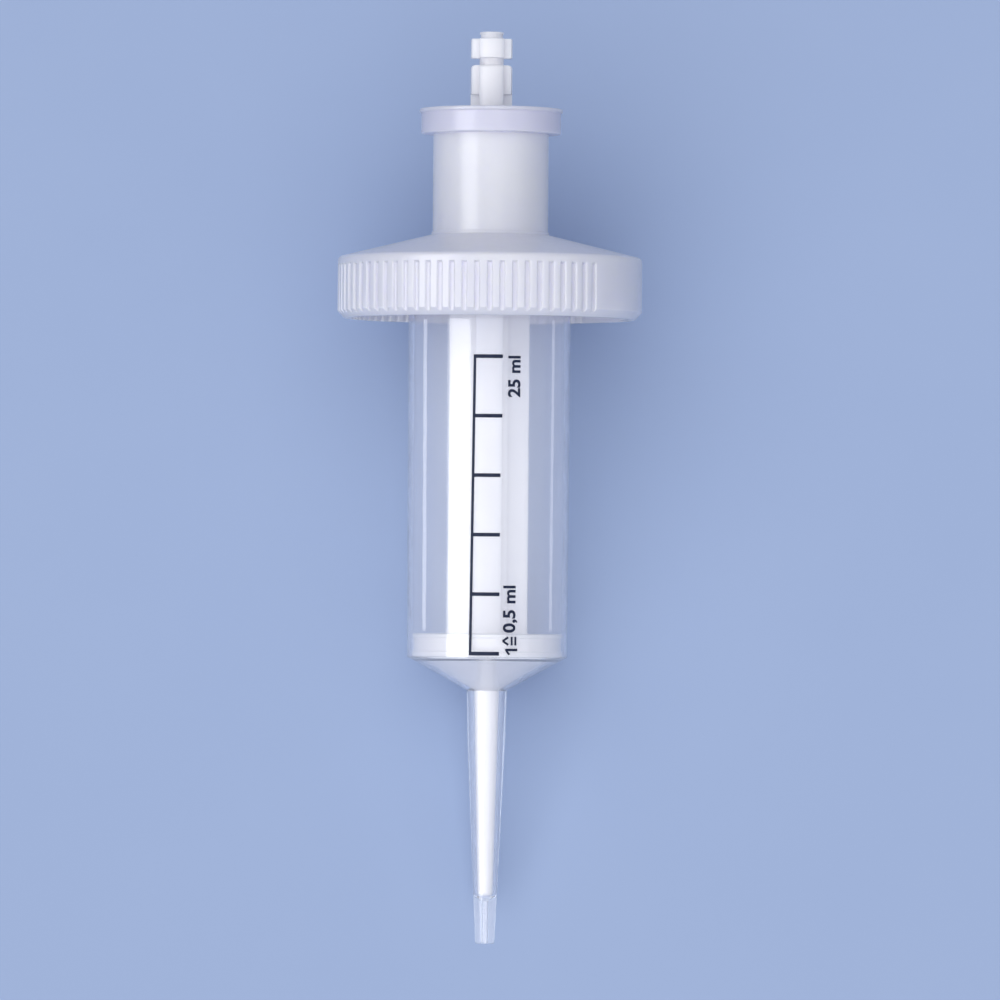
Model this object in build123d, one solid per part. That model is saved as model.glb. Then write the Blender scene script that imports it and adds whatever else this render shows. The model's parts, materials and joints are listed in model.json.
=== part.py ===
from build123d import *
import os
from math import asin, atan2, cos, degrees, pi, radians, tan

# A large positive-displacement dispensing tip: a clear barrel with a long outlet nozzle, a white piston
# whose needle fills the nozzle, and a milky adapter that locks on the barrel's top with a bayonet.
# Every piece is drawn upright first: the outlet's end at the origin, the axis along +Z, the printed
# scale towards -Y. Lengths are in millimetres, angles in degrees, heights are from the outlet's end.

# Barrel: the tube, its cone and its top edge
BORE_RADIUS = 12.68
TUBE_WALL_LOW = 0.77
TUBE_WALL_TOP = 1.0
CONE_ANGLE = 29.0
CONE_WALL = 0.85
CONE_TOP_HEIGHT = 48.1
CONE_EDGE_BEVEL = 0.3
BARREL_TOP = 112.6

# Barrel: the nozzle
NOZZLE_TOP_RADIUS = 3.37
NOZZLE_LEDGE = 0.1
NOZZLE_WAIST_RADIUS = 3.12
NOZZLE_WAIST_HEIGHT = 33.0
NOZZLE_END_RADIUS = 1.61
NOZZLE_END_BEVEL = 0.35
NOZZLE_BORE_TOP_RADIUS = 2.17
NOZZLE_BORE_LOW_RADIUS = 1.33
OUTLET_RADIUS = 0.4
OUTLET_LENGTH = 7.2
OUTLET_FUNNEL = 0.8

# Barrel: the flange with its two bayonet ears
FLANGE_RADIUS = 16.6
FLANGE_THICKNESS = 1.6
EAR_RADIUS = 20.2
EAR_WIDTH = 14.4

# Piston
CONE_GAP = 0.12
NEEDLE_GAP = 0.1
NEEDLE_END_BEVEL = 0.5
SEAL_GAP = 0.05
SEAL_HEIGHT = 0.7
SEAL_STAND = 0.25
HEAD_HEIGHT = 3.9
ROD_SPAN = 13.44
ROD_CORE_WIDTH = 4.4
ROD_WING_THICKNESS = 1.9
SLIM_ROD_WING_THICKNESS = 0.95
ROD_TAPER_START = 106.5
ROD_TAPER_LENGTH = 3.0
COUPLER_SPAN = 7.0
COUPLER_CORE_WIDTH = 4.05
COUPLER_WING_THICKNESS = 2.6
COUPLER_BLOCK_BASE = 142.6
COUPLER_BLOCK_HEIGHT = 4.9
COUPLER_BLOCK_BEVEL = 0.5
COUPLER_NECK_HEIGHT = 1.15
COUPLER_HEAD_HEIGHT = 3.3
COUPLER_PIN_HEIGHT = 1.15
COUPLER_PIN_RIM = 0.4
COUPLER_PIN_UNDERCUT = 0.17

# Adapter
ADAPTER_GAP = 0.1
PILOT_GAP = 0.07
RIM_RADIUS = 25.58
RIM_BASE = 104.85
RIM_CHAMFER_WIDTH = 1.15
RIM_CHAMFER_HEIGHT = 1.25
RIM_TOP_BEVEL = 1.0
SKIRT_WALL = 1.9
SHOULDER_TOP = 119.0
SHOULDER_ANGLE = 13.8
SHOULDER_WALL = 1.7
NECK_RADIUS = 9.7
NECK_FOOT_STAND = 0.18
NECK_FOOT_HEIGHT = 0.45
PASSAGE_RADIUS = 8.7
PASSAGE_CHAMFER = 0.5
COLLAR_RADIUS = 11.75
COLLAR_BASE = 135.95
COLLAR_HEIGHT = 4.2
COLLAR_LIP_STAND = 0.3
COLLAR_LIP_HEIGHT = 0.55
COLLAR_EDGE = 0.2
PILOT_WALL = 1.25
PILOT_LENGTH = 3.4
LAND_WIDTH = 1.6
HOOK_WALL = 1.3
HOOK_LEDGE_THICKNESS = 1.4
HOOK_EAR_ROOM = 1.2
HOOK_STOP_SPAN = 3.2

# Knurling on the rim, with one plain patch on its right and the first groove at the back
KNURL_COUNT = 76
KNURL_FIRST_TURN = 90.0
KNURL_DEPTH = 0.5
KNURL_MOUTH_SHARE = 0.58
KNURL_FLOOR_SHARE = 0.36
KNURL_TOP_MARGIN = 1.3
PLAIN_PATCH_SPAN = 89.0

# Printed scale
SCALE_STEP_VOLUME = 5000.0
SCALE_STEPS = 5
SCALE_ZERO_HEIGHT = 48.8
SCALE_LINE_WIDTH = 0.45
SCALE_TICK_WIDTH = 0.62
SCALE_LEFT_ANGLE = -10.9
SCALE_RIGHT_ANGLE = 9.2
INK_THICKNESS = 0.04

# Heights and radii that follow from the sizes above
TUBE_RADIUS_LOW = BORE_RADIUS + TUBE_WALL_LOW
TUBE_RADIUS_TOP = BORE_RADIUS + TUBE_WALL_TOP
SCALE_STEP = SCALE_STEP_VOLUME / (pi * BORE_RADIUS**2)
STROKE = SCALE_STEPS * SCALE_STEP
CONE_SLOPE = tan(radians(CONE_ANGLE))
CONE_WALL_UPRIGHT = CONE_WALL / cos(radians(CONE_ANGLE))
SHOULDER_SLOPE = tan(radians(SHOULDER_ANGLE))
NOZZLE_NECK_RADIUS = NOZZLE_TOP_RADIUS - NOZZLE_LEDGE
NOZZLE_TOP_HEIGHT = CONE_TOP_HEIGHT - (TUBE_RADIUS_LOW - NOZZLE_NECK_RADIUS) * CONE_SLOPE
FLANGE_BASE = BARREL_TOP - FLANGE_THICKNESS
HEAD_TOP = CONE_TOP_HEIGHT + HEAD_HEIGHT
COUPLER_NECK_BASE = COUPLER_BLOCK_BASE + COUPLER_BLOCK_HEIGHT
COUPLER_HEAD_BASE = COUPLER_NECK_BASE + COUPLER_NECK_HEIGHT
COUPLER_HEAD_TOP = COUPLER_HEAD_BASE + COUPLER_HEAD_HEIGHT
COUPLER_TOP = COUPLER_HEAD_TOP + COUPLER_PIN_HEIGHT
RIM_EDGE_HEIGHT = RIM_BASE + RIM_CHAMFER_HEIGHT
NECK_FOOT_RADIUS = NECK_RADIUS + NECK_FOOT_STAND
RIM_CORNER_HEIGHT = SHOULDER_TOP - (RIM_RADIUS - NECK_FOOT_RADIUS) * SHOULDER_SLOPE
LAND_HEIGHT = BARREL_TOP + ADAPTER_GAP
COLLAR_TOP = COLLAR_BASE + COLLAR_HEIGHT


def cone_inside(radius):
    """Height of the inner face of the barrel's cone at a radius."""
    return CONE_TOP_HEIGHT - (TUBE_RADIUS_LOW - radius) * CONE_SLOPE + CONE_WALL_UPRIGHT


def shoulder_inside(radius):
    """Height of the inner face of the adapter's shoulder at a radius."""
    upright_wall = SHOULDER_WALL / cos(radians(SHOULDER_ANGLE))
    return SHOULDER_TOP - (radius - NECK_FOOT_RADIUS) * SHOULDER_SLOPE - upright_wall


def turned(points, bevels=None):
    """Solid of revolution from (radius, height) corners, some of them cut off: {corner index: bevel}."""
    outline = []
    for index, point in enumerate(points):
        corner = Vector(*point)
        bevel = (bevels or {}).get(index)
        if bevel:
            neighbours = [Vector(*points[index - 1]), Vector(*points[(index + 1) % len(points)])]
            outline += [corner + (other - corner).normalized() * bevel for other in neighbours]
        else:
            outline.append(corner)
    return revolve(Plane.XZ * make_face(Polyline(*outline, close=True)), Axis.Z)


def ring(inner, outer, base, top):
    """Plain ring between two radii and two heights."""
    return turned([(inner, base), (outer, base), (outer, top), (inner, top)])


def cross_bar(span, core_width, wing_thickness, base, top):
    """Cross-shaped rod: wings to the left and right, a wider core from front to back, all in one circle."""
    height = top - base
    middle = Pos(0, 0, base + height / 2)
    circle = middle * Cylinder(span / 2, height)
    wings = middle * Box(span, wing_thickness, height)
    core = middle * Box(core_width, span, height)
    return (wings + core) & circle


def make_barrel():
    """Clear tube, cone and nozzle in one, with a flange and two ears at the top."""
    bore_foot = (BORE_RADIUS, cone_inside(BORE_RADIUS))
    bore_neck = (NOZZLE_BORE_TOP_RADIUS, cone_inside(NOZZLE_BORE_TOP_RADIUS))
    bore_seat = OUTLET_LENGTH + OUTLET_FUNNEL
    wall = turned(
        [
            (OUTLET_RADIUS, 0),
            (NOZZLE_END_RADIUS, 0),
            (NOZZLE_WAIST_RADIUS, NOZZLE_WAIST_HEIGHT),
            (NOZZLE_TOP_RADIUS, NOZZLE_TOP_HEIGHT),
            (NOZZLE_NECK_RADIUS, NOZZLE_TOP_HEIGHT),
            (TUBE_RADIUS_LOW, CONE_TOP_HEIGHT),
            (TUBE_RADIUS_TOP, BARREL_TOP),
            (BORE_RADIUS, BARREL_TOP),
            bore_foot,
            bore_neck,
            (NOZZLE_BORE_LOW_RADIUS, bore_seat),
            (OUTLET_RADIUS, OUTLET_LENGTH),
        ],
        {1: NOZZLE_END_BEVEL, 5: CONE_EDGE_BEVEL},
    )
    flange = ring(BORE_RADIUS, FLANGE_RADIUS, FLANGE_BASE, BARREL_TOP)
    ear_middle = Pos(0, 0, FLANGE_BASE + FLANGE_THICKNESS / 2)
    ear_strip = ear_middle * Box(2 * EAR_RADIUS, EAR_WIDTH, FLANGE_THICKNESS)
    ears = ring(BORE_RADIUS, EAR_RADIUS, FLANGE_BASE, BARREL_TOP) & ear_strip
    return wall + flange + ears


def make_piston():
    """White piston in one: coupler, cross-shaped rod, sealing head and the needle that fills the nozzle."""
    seal_radius = BORE_RADIUS - SEAL_GAP
    body_radius = seal_radius - SEAL_STAND
    needle_top_radius = NOZZLE_BORE_TOP_RADIUS - NEEDLE_GAP
    needle_end_radius = NOZZLE_BORE_LOW_RADIUS - NEEDLE_GAP
    needle_end = OUTLET_LENGTH + OUTLET_FUNNEL + NEEDLE_GAP
    head_foot = cone_inside(body_radius) + CONE_GAP
    seal_foot = head_foot + SEAL_STAND
    head = turned(
        [
            (0, needle_end),
            (needle_end_radius, needle_end),
            (needle_top_radius, cone_inside(needle_top_radius) + CONE_GAP),
            (body_radius, head_foot),
            (seal_radius, seal_foot),
            (seal_radius, seal_foot + SEAL_HEIGHT),
            (body_radius, seal_foot + SEAL_HEIGHT + SEAL_STAND),
            (body_radius, HEAD_TOP - SEAL_HEIGHT),
            (seal_radius, HEAD_TOP - SEAL_HEIGHT + SEAL_STAND),
            (seal_radius, HEAD_TOP),
            (0, HEAD_TOP),
        ],
        {1: NEEDLE_END_BEVEL},
    )
    rod = cross_bar(ROD_SPAN, ROD_CORE_WIDTH, ROD_WING_THICKNESS, HEAD_TOP, ROD_TAPER_START + ROD_TAPER_LENGTH)
    taper = turned(
        [
            (0, HEAD_TOP),
            (ROD_SPAN / 2, HEAD_TOP),
            (ROD_SPAN / 2, ROD_TAPER_START),
            (COUPLER_SPAN / 2, ROD_TAPER_START + ROD_TAPER_LENGTH),
            (0, ROD_TAPER_START + ROD_TAPER_LENGTH),
        ]
    )
    slim_rod = cross_bar(
        COUPLER_SPAN, COUPLER_CORE_WIDTH, SLIM_ROD_WING_THICKNESS, ROD_TAPER_START, COUPLER_BLOCK_BASE
    )
    return head + (rod & taper) + slim_rod + make_coupler()


def make_coupler():
    """Winged block, neck, winged head and pin, gripped by the dispenser that drives the piston."""
    wings = (COUPLER_SPAN, COUPLER_CORE_WIDTH, COUPLER_WING_THICKNESS)
    block = cross_bar(*wings, COUPLER_BLOCK_BASE, COUPLER_NECK_BASE)
    rounded = turned(
        [
            (0, COUPLER_BLOCK_BASE),
            (COUPLER_SPAN / 2, COUPLER_BLOCK_BASE),
            (COUPLER_SPAN / 2, COUPLER_NECK_BASE),
            (0, COUPLER_NECK_BASE),
        ],
        {2: COUPLER_BLOCK_BEVEL},
    )
    head = cross_bar(*wings, COUPLER_HEAD_BASE, COUPLER_HEAD_TOP)
    core_radius = COUPLER_CORE_WIDTH / 2
    waist_radius = core_radius - COUPLER_PIN_UNDERCUT
    pin = turned(
        [
            (0, COUPLER_NECK_BASE),
            (core_radius, COUPLER_NECK_BASE),
            (core_radius, COUPLER_HEAD_TOP),
            (waist_radius, COUPLER_HEAD_TOP),
            (waist_radius, COUPLER_TOP - COUPLER_PIN_RIM),
            (core_radius, COUPLER_TOP - COUPLER_PIN_RIM),
            (core_radius, COUPLER_TOP),
            (0, COUPLER_TOP),
        ]
    )
    return (block & rounded) + head + pin


def make_adapter():
    """Milky moulding: gripping collar, neck, conical shoulder and knurled rim, with a bayonet inside."""
    skirt_inside = RIM_RADIUS - KNURL_DEPTH - SKIRT_WALL
    pilot_radius = BORE_RADIUS - PILOT_GAP
    pilot_inside = pilot_radius - PILOT_WALL
    pilot_base = LAND_HEIGHT - PILOT_LENGTH
    land_radius = pilot_radius + LAND_WIDTH
    lip_radius = COLLAR_RADIUS + COLLAR_LIP_STAND
    shell = turned(
        [
            (RIM_RADIUS - RIM_CHAMFER_WIDTH, RIM_BASE),
            (RIM_RADIUS, RIM_EDGE_HEIGHT),
            (RIM_RADIUS, RIM_CORNER_HEIGHT),
            (NECK_FOOT_RADIUS, SHOULDER_TOP),
            (NECK_FOOT_RADIUS, SHOULDER_TOP + NECK_FOOT_HEIGHT),
            (NECK_RADIUS, SHOULDER_TOP + NECK_FOOT_HEIGHT),
            (NECK_RADIUS, COLLAR_BASE),
            (COLLAR_RADIUS, COLLAR_BASE),
            (COLLAR_RADIUS, COLLAR_TOP - COLLAR_EDGE - COLLAR_LIP_HEIGHT),
            (lip_radius, COLLAR_TOP - COLLAR_EDGE - COLLAR_LIP_STAND),
            (lip_radius, COLLAR_TOP - COLLAR_EDGE),
            (lip_radius - COLLAR_EDGE, COLLAR_TOP),
            (PASSAGE_RADIUS + PASSAGE_CHAMFER, COLLAR_TOP),
            (PASSAGE_RADIUS, COLLAR_TOP - PASSAGE_CHAMFER),
            (PASSAGE_RADIUS, shoulder_inside(PASSAGE_RADIUS)),
            (pilot_inside, shoulder_inside(pilot_inside)),
            (pilot_inside, pilot_base),
            (pilot_radius - COLLAR_EDGE, pilot_base),
            (pilot_radius, pilot_base + COLLAR_EDGE),
            (pilot_radius, LAND_HEIGHT),
            (land_radius, LAND_HEIGHT),
            (land_radius, shoulder_inside(land_radius)),
            (skirt_inside, shoulder_inside(skirt_inside)),
            (skirt_inside, RIM_BASE),
        ],
        {2: RIM_TOP_BEVEL},
    )
    return shell + make_hooks() - make_knurl_cuts()


def make_hooks():
    """Two bayonet hooks under the shoulder, each with a ledge below an ear and a stop at one end."""
    ear_room = EAR_RADIUS + ADAPTER_GAP
    wall_radius = ear_room + HOOK_WALL
    ledge_top = FLANGE_BASE - ADAPTER_GAP
    ledge_base = ledge_top - HOOK_LEDGE_THICKNESS
    ledge_inside = FLANGE_RADIUS + 2 * ADAPTER_GAP
    root = shoulder_inside(wall_radius) + SHOULDER_WALL / 2
    ear_half_span = degrees(asin(EAR_WIDTH / 2 / ledge_inside))
    hook_half_span = ear_half_span + HOOK_EAR_ROOM + HOOK_STOP_SPAN
    section = Polyline(
        (ledge_inside, ledge_base),
        (wall_radius, ledge_base),
        (wall_radius, root),
        (ear_room, root),
        (ear_room, ledge_top),
        (ledge_inside, ledge_top),
        close=True,
    )
    stop_section = Polyline(
        (ledge_inside, ledge_base),
        (wall_radius, ledge_base),
        (wall_radius, root),
        (ledge_inside, root),
        close=True,
    )
    hook = revolve(Plane.XZ * make_face(section), Axis.Z, 2 * hook_half_span)
    stop = revolve(Plane.XZ * make_face(stop_section), Axis.Z, HOOK_STOP_SPAN)
    hook += Rot(0, 0, 2 * hook_half_span - HOOK_STOP_SPAN) * stop
    return [Rot(0, 0, turn - hook_half_span) * hook for turn in (0, 180)]


def make_knurl_cuts():
    """The grooves between the rim's ribs, all round but for the plain patch on the right."""
    pitch_angle = 360 / KNURL_COUNT
    pitch = RIM_RADIUS * radians(pitch_angle)
    mouth = pitch * KNURL_MOUTH_SHARE
    floor = pitch * KNURL_FLOOR_SHARE
    top = RIM_CORNER_HEIGHT - KNURL_TOP_MARGIN
    outside = KNURL_DEPTH + RIM_CHAMFER_WIDTH
    flare = (mouth - floor) / 2 / KNURL_DEPTH
    mouth_outside = floor / 2 + flare * outside
    floor_radius = RIM_RADIUS - KNURL_DEPTH
    section = Polyline(
        (floor_radius, -floor / 2),
        (floor_radius, floor / 2),
        (floor_radius + outside, mouth_outside),
        (floor_radius + outside, -mouth_outside),
        close=True,
    )
    groove = Pos(0, 0, RIM_BASE) * extrude(make_face(section), top - RIM_BASE)
    turns = [KNURL_FIRST_TURN + index * pitch_angle for index in range(KNURL_COUNT)]
    cut_turns = [turn for turn in turns if abs((turn + 180) % 360 - 180) > PLAIN_PATCH_SPAN / 2]
    return [Rot(0, 0, turn) * groove for turn in cut_turns]


def make_scale_print():
    """Ink on the front of the tube: one upright line and a tick for each volume step."""
    slope = (TUBE_RADIUS_TOP - TUBE_RADIUS_LOW) / (BARREL_TOP - CONE_TOP_HEIGHT)

    def surface(height):
        return TUBE_RADIUS_LOW + (height - CONE_TOP_HEIGHT) * slope

    def ink(start_angle, end_angle, base, top):
        """Patch of ink between two angles, counted from the front towards the right."""
        section = Polyline(
            (surface(base), base),
            (surface(base) + INK_THICKNESS, base),
            (surface(top) + INK_THICKNESS, top),
            (surface(top), top),
            close=True,
        )
        patch = revolve(Plane.XZ * make_face(section), Axis.Z, end_angle - start_angle)
        return Rot(0, 0, start_angle - 90) * patch

    half_line = degrees(SCALE_LINE_WIDTH / 2 / TUBE_RADIUS_LOW)
    half_tick = SCALE_TICK_WIDTH / 2
    scale_top = SCALE_ZERO_HEIGHT + STROKE
    spine = ink(
        SCALE_LEFT_ANGLE - half_line,
        SCALE_LEFT_ANGLE + half_line,
        SCALE_ZERO_HEIGHT - half_tick,
        scale_top + half_tick,
    )
    for step in range(SCALE_STEPS + 1):
        height = SCALE_ZERO_HEIGHT + step * SCALE_STEP
        spine += ink(SCALE_LEFT_ANGLE, SCALE_RIGHT_ANGLE, height - half_tick, height + half_tick)
    return spine


def lay_down(pieces):
    """Lay the tip on its side: it rests on the rim's lower edge and on the edge of the barrel's cone."""
    lean = atan2(RIM_RADIUS - TUBE_RADIUS_LOW, RIM_EDGE_HEIGHT - CONE_TOP_HEIGHT - CONE_EDGE_BEVEL)
    laid = {name: Rot(degrees(lean) - 90, 0, 0) * piece for name, piece in pieces.items()}
    boxes = [piece.bounding_box() for piece in laid.values()]
    near = min(box.min.Y for box in boxes)
    far = max(box.max.Y for box in boxes)
    low = min(box.min.Z for box in boxes)
    return {name: Pos(0, -(near + far) / 2, -low) * piece for name, piece in laid.items()}


def main():
    pieces = {
        "barrel": make_barrel(),
        "piston": make_piston(),
        "adapter": make_adapter(),
        "scale_print": make_scale_print(),
    }
    os.makedirs("parts", exist_ok=True)
    for name, piece in lay_down(pieces).items():
        export_step(piece, f"parts/{name}.step")


main()
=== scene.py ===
import json
from math import acos, asin, atan2, cos, degrees, pi, radians, sin, tan

import bpy
import numpy as np
from mathutils import Matrix, Vector


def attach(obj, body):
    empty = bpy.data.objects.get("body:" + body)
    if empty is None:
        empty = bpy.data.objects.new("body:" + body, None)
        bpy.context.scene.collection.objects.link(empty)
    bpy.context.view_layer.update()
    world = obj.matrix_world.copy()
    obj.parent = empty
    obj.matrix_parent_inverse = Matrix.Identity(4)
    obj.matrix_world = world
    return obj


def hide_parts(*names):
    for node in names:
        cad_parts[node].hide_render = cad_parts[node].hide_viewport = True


# The finish of a clear dispensing tip with a white piston and a milky adapter. Every mesh is drawn upright,
# in millimetres: the outlet's end at the origin, the axis along +Z, the printed scale towards -Y. An
# azimuth is counted from the scale towards +X. The frame's own axis then lays the meshes down.
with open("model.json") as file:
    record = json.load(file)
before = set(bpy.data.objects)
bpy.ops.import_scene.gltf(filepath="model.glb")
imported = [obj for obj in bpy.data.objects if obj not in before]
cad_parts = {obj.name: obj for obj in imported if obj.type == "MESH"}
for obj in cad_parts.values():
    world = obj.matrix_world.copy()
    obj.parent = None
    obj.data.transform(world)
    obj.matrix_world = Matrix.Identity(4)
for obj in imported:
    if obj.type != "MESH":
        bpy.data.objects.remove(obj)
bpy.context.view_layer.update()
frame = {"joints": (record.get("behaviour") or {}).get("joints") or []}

MILLIMETRE = 0.001

# A divisor that is never nought, and a step in height that is too small to see
TINY = 1e-9
SMALL_STEP = 0.02

# Barrel
BORE_RADIUS = 12.68
TUBE_RADIUS_LOW = 13.45
TUBE_RADIUS_TOP = 13.68
CONE_ANGLE = 29.0
CONE_WALL = 0.85
CONE_TOP_HEIGHT = 48.1
BARREL_TOP = 112.6
BORE_FOOT_HEIGHT = 48.18
BORE_FOOT_WIDTH = 1.1
NOZZLE_TOP_RADIUS = 3.37
NOZZLE_LEDGE = 0.1
NOZZLE_WAIST_RADIUS = 3.12
NOZZLE_WAIST_HEIGHT = 33.0
NOZZLE_END_RADIUS = 1.61
NOZZLE_BORE_TOP_RADIUS = 2.17
NOZZLE_BORE_LOW_RADIUS = 1.33
OUTLET_RADIUS = 0.4
OUTLET_LENGTH = 7.2
OUTLET_FUNNEL = 0.8
FLANGE_RADIUS = 16.6
FLANGE_THICKNESS = 1.6
FLANGE_EDGE = 0.25
EAR_RADIUS = 20.2
EAR_WIDTH = 14.4

# Piston
CONE_GAP = 0.08
NEEDLE_GAP = 0.1
SEAL_GAP = 0.05
SEAL_HEIGHT = 0.7
SEAL_STAND = 0.25
HEAD_HEIGHT = 3.9
HEAD_FLAT_WIDTH = 0.6
ROD_RADIUS = 6.72
ROD_FILLET = 0.35
ROD_FILLET_RING_HEIGHT = 0.1
ROD_FILLET_RING_STANDS = (0.1, 0.12, 0.12)
ROD_TAPER_START = 106.5
ROD_TAPER_LENGTH = 3.0
SLIM_RADIUS = 3.5
CORE_RADIUS = 2.025
BLOCK_BASE = 142.6
BLOCK_HEIGHT = 4.9
BLOCK_ROUNDING = 0.55
NECK_HEIGHT = 1.15
WINGED_HEAD_HEIGHT = 3.3
WING_BEVEL = 0.12
PIN_HEIGHT = 1.15
PIN_RIM = 0.4
PIN_UNDERCUT = 0.17
CAP_RADIUS = 0.05

# Cross sections of the piston: radius, half the side wings' thickness, half the core's width
ROD = (ROD_RADIUS, 0.95, 2.2)
ROD_FOOT = tuple(size + ROD_FILLET for size in ROD)
ROD_FOOT_MIDDLE = tuple(size + stand for size, stand in zip(ROD, ROD_FILLET_RING_STANDS))
SLIM_ROD = (SLIM_RADIUS, 0.475, CORE_RADIUS)
COUPLER = (SLIM_RADIUS, 1.3, CORE_RADIUS)

# Radius limit of a ring that its cross section alone bounds
NO_LIMIT = 99.0

# Adapter
RIM_RADIUS = 25.58
RIM_BASE = 104.85
RIM_CHAMFER_WIDTH = 1.15
RIM_CHAMFER_HEIGHT = 1.25
RIM_SIDE_ROW = 3.0
SKIRT_WALL = 1.9
SHOULDER_TOP = 119.0
SHOULDER_ANGLE = 13.8
SHOULDER_WALL = 1.7
FOOT_RADIUS = 9.88
FOOT_HEIGHT = 0.45
ADAPTER_NECK_RADIUS = 9.7
PASSAGE_RADIUS = 8.7
COLLAR_RADIUS = 11.75
COLLAR_BASE = 135.95
COLLAR_TOP = 140.15
COLLAR_LIP_STAND = 0.3
COLLAR_LIP_HEIGHT = 0.55
COLLAR_EDGE = 0.2
LAND_HEIGHT = 112.7
LAND_WIDTH = 1.6
PILOT_RADIUS = 12.61
PILOT_WALL = 1.25
PILOT_LENGTH = 3.4
HOOK_INSIDE = 16.8
HOOK_ROOM_RADIUS = 20.3
HOOK_WALL = 1.3
HOOK_LEDGE_THICKNESS = 1.4
HOOK_LEDGE_TOP = 110.9
HOOK_HALF_SPAN = 29.8
HOOK_STOP_SPAN = 3.2
HOOK_STOP_INSET = 0.1
HOOK_STEP = 3.0
FLUTE_DEPTH = 0.45
FLUTE_HEIGHT = 1.7
FLUTE_MARGIN = 0.15
KNURL_COUNT = 76
KNURL_DEPTH = 0.5
KNURL_MARGIN = 0.1
KNURL_TOP_MARGIN = 1.3
KNURL_FADE = 0.35
PLAIN_PATCH_AZIMUTH = 90.0
PLAIN_PATCH_SPAN = 89.0

# One knurl pitch in shares of it, from the middle of a groove: half its mouth, half its floor, and where
# the mesh has its samples, on the groove's flanks and just beside them
MOUTH_HALF = 0.26
FLOOR_HALF = 0.12
PITCH_SHARES = (0.08, 0.15, 0.19, 0.23, 0.27, 0.31, 0.69, 0.73, 0.77, 0.81, 0.85, 0.92)

# Rows over the rim's lower chamfer, closer together where the grooves run out
CHAMFER_SHARES = (0.35, 0.55, 0.62, 0.7, 0.85)

# Printed scale, with azimuths and the ticks' ends in degrees; one step is a volume in cubic millimetres
SCALE_ZERO_HEIGHT = 48.8
SCALE_STEP_VOLUME = 5000.0
SCALE_STEP = SCALE_STEP_VOLUME / (pi * BORE_RADIUS**2)
SCALE_STEPS = 5
SPINE_AZIMUTH_LOW = -12.0
SPINE_AZIMUTH_TOP = -9.95
SPINE_WIDTH = 0.45
TICK_WIDTH = 0.62
TICK_END_LOW = 8.6
TICK_END_TOP = 9.6
TICK_OVERLAP = 0.9
INK_FOOT = 0.002
INK_TOP = 0.04
INK_STEPS = 12

# Lettering, which reads upwards with the letters' feet to the right
LETTER_SIZE = 2.9
LETTER_BOLDNESS = 0.028
TOP_WORDS_AZIMUTH = 22.6
TOP_WORDS_HEIGHT = 91.5
TOP_WORDS_LENGTH = 6.9
LOW_WORDS_AZIMUTH = 22.0
LOW_WORDS_HEIGHT = 52.3
LOW_WORDS_LENGTH = 7.85
ONE_HEIGHT = 49.45
ONE_STROKE = 0.42
SIGN_HEIGHT = 50.2
SIGN_LENGTH = 1.45
SIGN_STROKE = 0.34
SLANTED_STROKE = 0.36

# Camera, read off the photograph, which spans this many millimetres from side to side at the tip's axis
FRAME_WIDTH = 168.0
CAMERA_DISTANCE = 1344.0
EYE_HEIGHT = 62.7
AIM_HEIGHT = 74.5
AIM_ACROSS = 1.98
LEAN_IN_PICTURE = 0.454
SENSOR_WIDTH = 36.0
CLIP_NEAR = 0.05
CLIP_FAR = 50

# Studio, in metres and degrees, with heights on the tip in millimetres. A softbox is (name, angle to the
# camera's right, distance, width, length, radiance, colour), and a glint is a narrow one close to the
# tube: (angle, width, radiance).
WHITE = (1.0, 1.0, 1.0)
FRONT_SOFTBOX = ("front", -14, 1.5, 2.6, 3.4, 1.38, WHITE)
FILL_SOFTBOX = ("fill", 46, 0.9, 0.5, 1.1, 0.6, (0.96, 0.97, 1.0))
SHINE_SOFTBOX = ("shine", -44, 0.9, 0.56, 1.1, 3.4, WHITE)
GLINTS = ((-93.4, 0.008, 3.6), (93.4, 0.006, 2.0))
GLINT_DISTANCE = 0.0601
GLINT_LENGTH = 0.054
GLINT_HEIGHT = 79.0
SURROUND_COLOUR = (0.66, 0.75, 1.0, 1)
SURROUND_STRENGTH = 0.24
BACKDROP_COLOUR = (0.50, 0.60, 0.78, 1)
FLOOR_REACH = 4.0

# Mesh: steps of a full turn, degrees between faces that look sharp, and degrees of one step of an arc. An
# arc takes at most ARC_SHARE of the shorter edge beside it, and its support point SUPPORT_SHARE more.
TURN_STEPS = 240
SHARP_ANGLE = 35.0
INK_SHARP_ANGLE = 30.0
ARC_STEP = 18
WIDE_ARC_STEP = 25
ARC_SHARE = 0.45
SUPPORT_SHARE = 0.04
SUPPORT_REACH = 0.2

# Most of a noise texture's values lie between these two
NOISE_LOW = 0.3
NOISE_HIGH = 0.7

CONE_SLOPE = tan(radians(CONE_ANGLE))
CONE_START_RADIUS = BORE_RADIUS - BORE_FOOT_WIDTH
SHOULDER_SLOPE = tan(radians(SHOULDER_ANGLE))
RIM_EDGE_HEIGHT = RIM_BASE + RIM_CHAMFER_HEIGHT
RIM_CORNER_HEIGHT = SHOULDER_TOP - (RIM_RADIUS - FOOT_RADIUS) * SHOULDER_SLOPE
GROOVE_TOP = RIM_CORNER_HEIGHT - KNURL_TOP_MARGIN
GROOVE_FLOOR_RADIUS = RIM_RADIUS - KNURL_DEPTH
SKIRT_INSIDE = GROOVE_FLOOR_RADIUS - SKIRT_WALL
HEAD_TOP = CONE_TOP_HEIGHT + HEAD_HEIGHT
FLANGE_BASE = BARREL_TOP - FLANGE_THICKNESS

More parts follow.
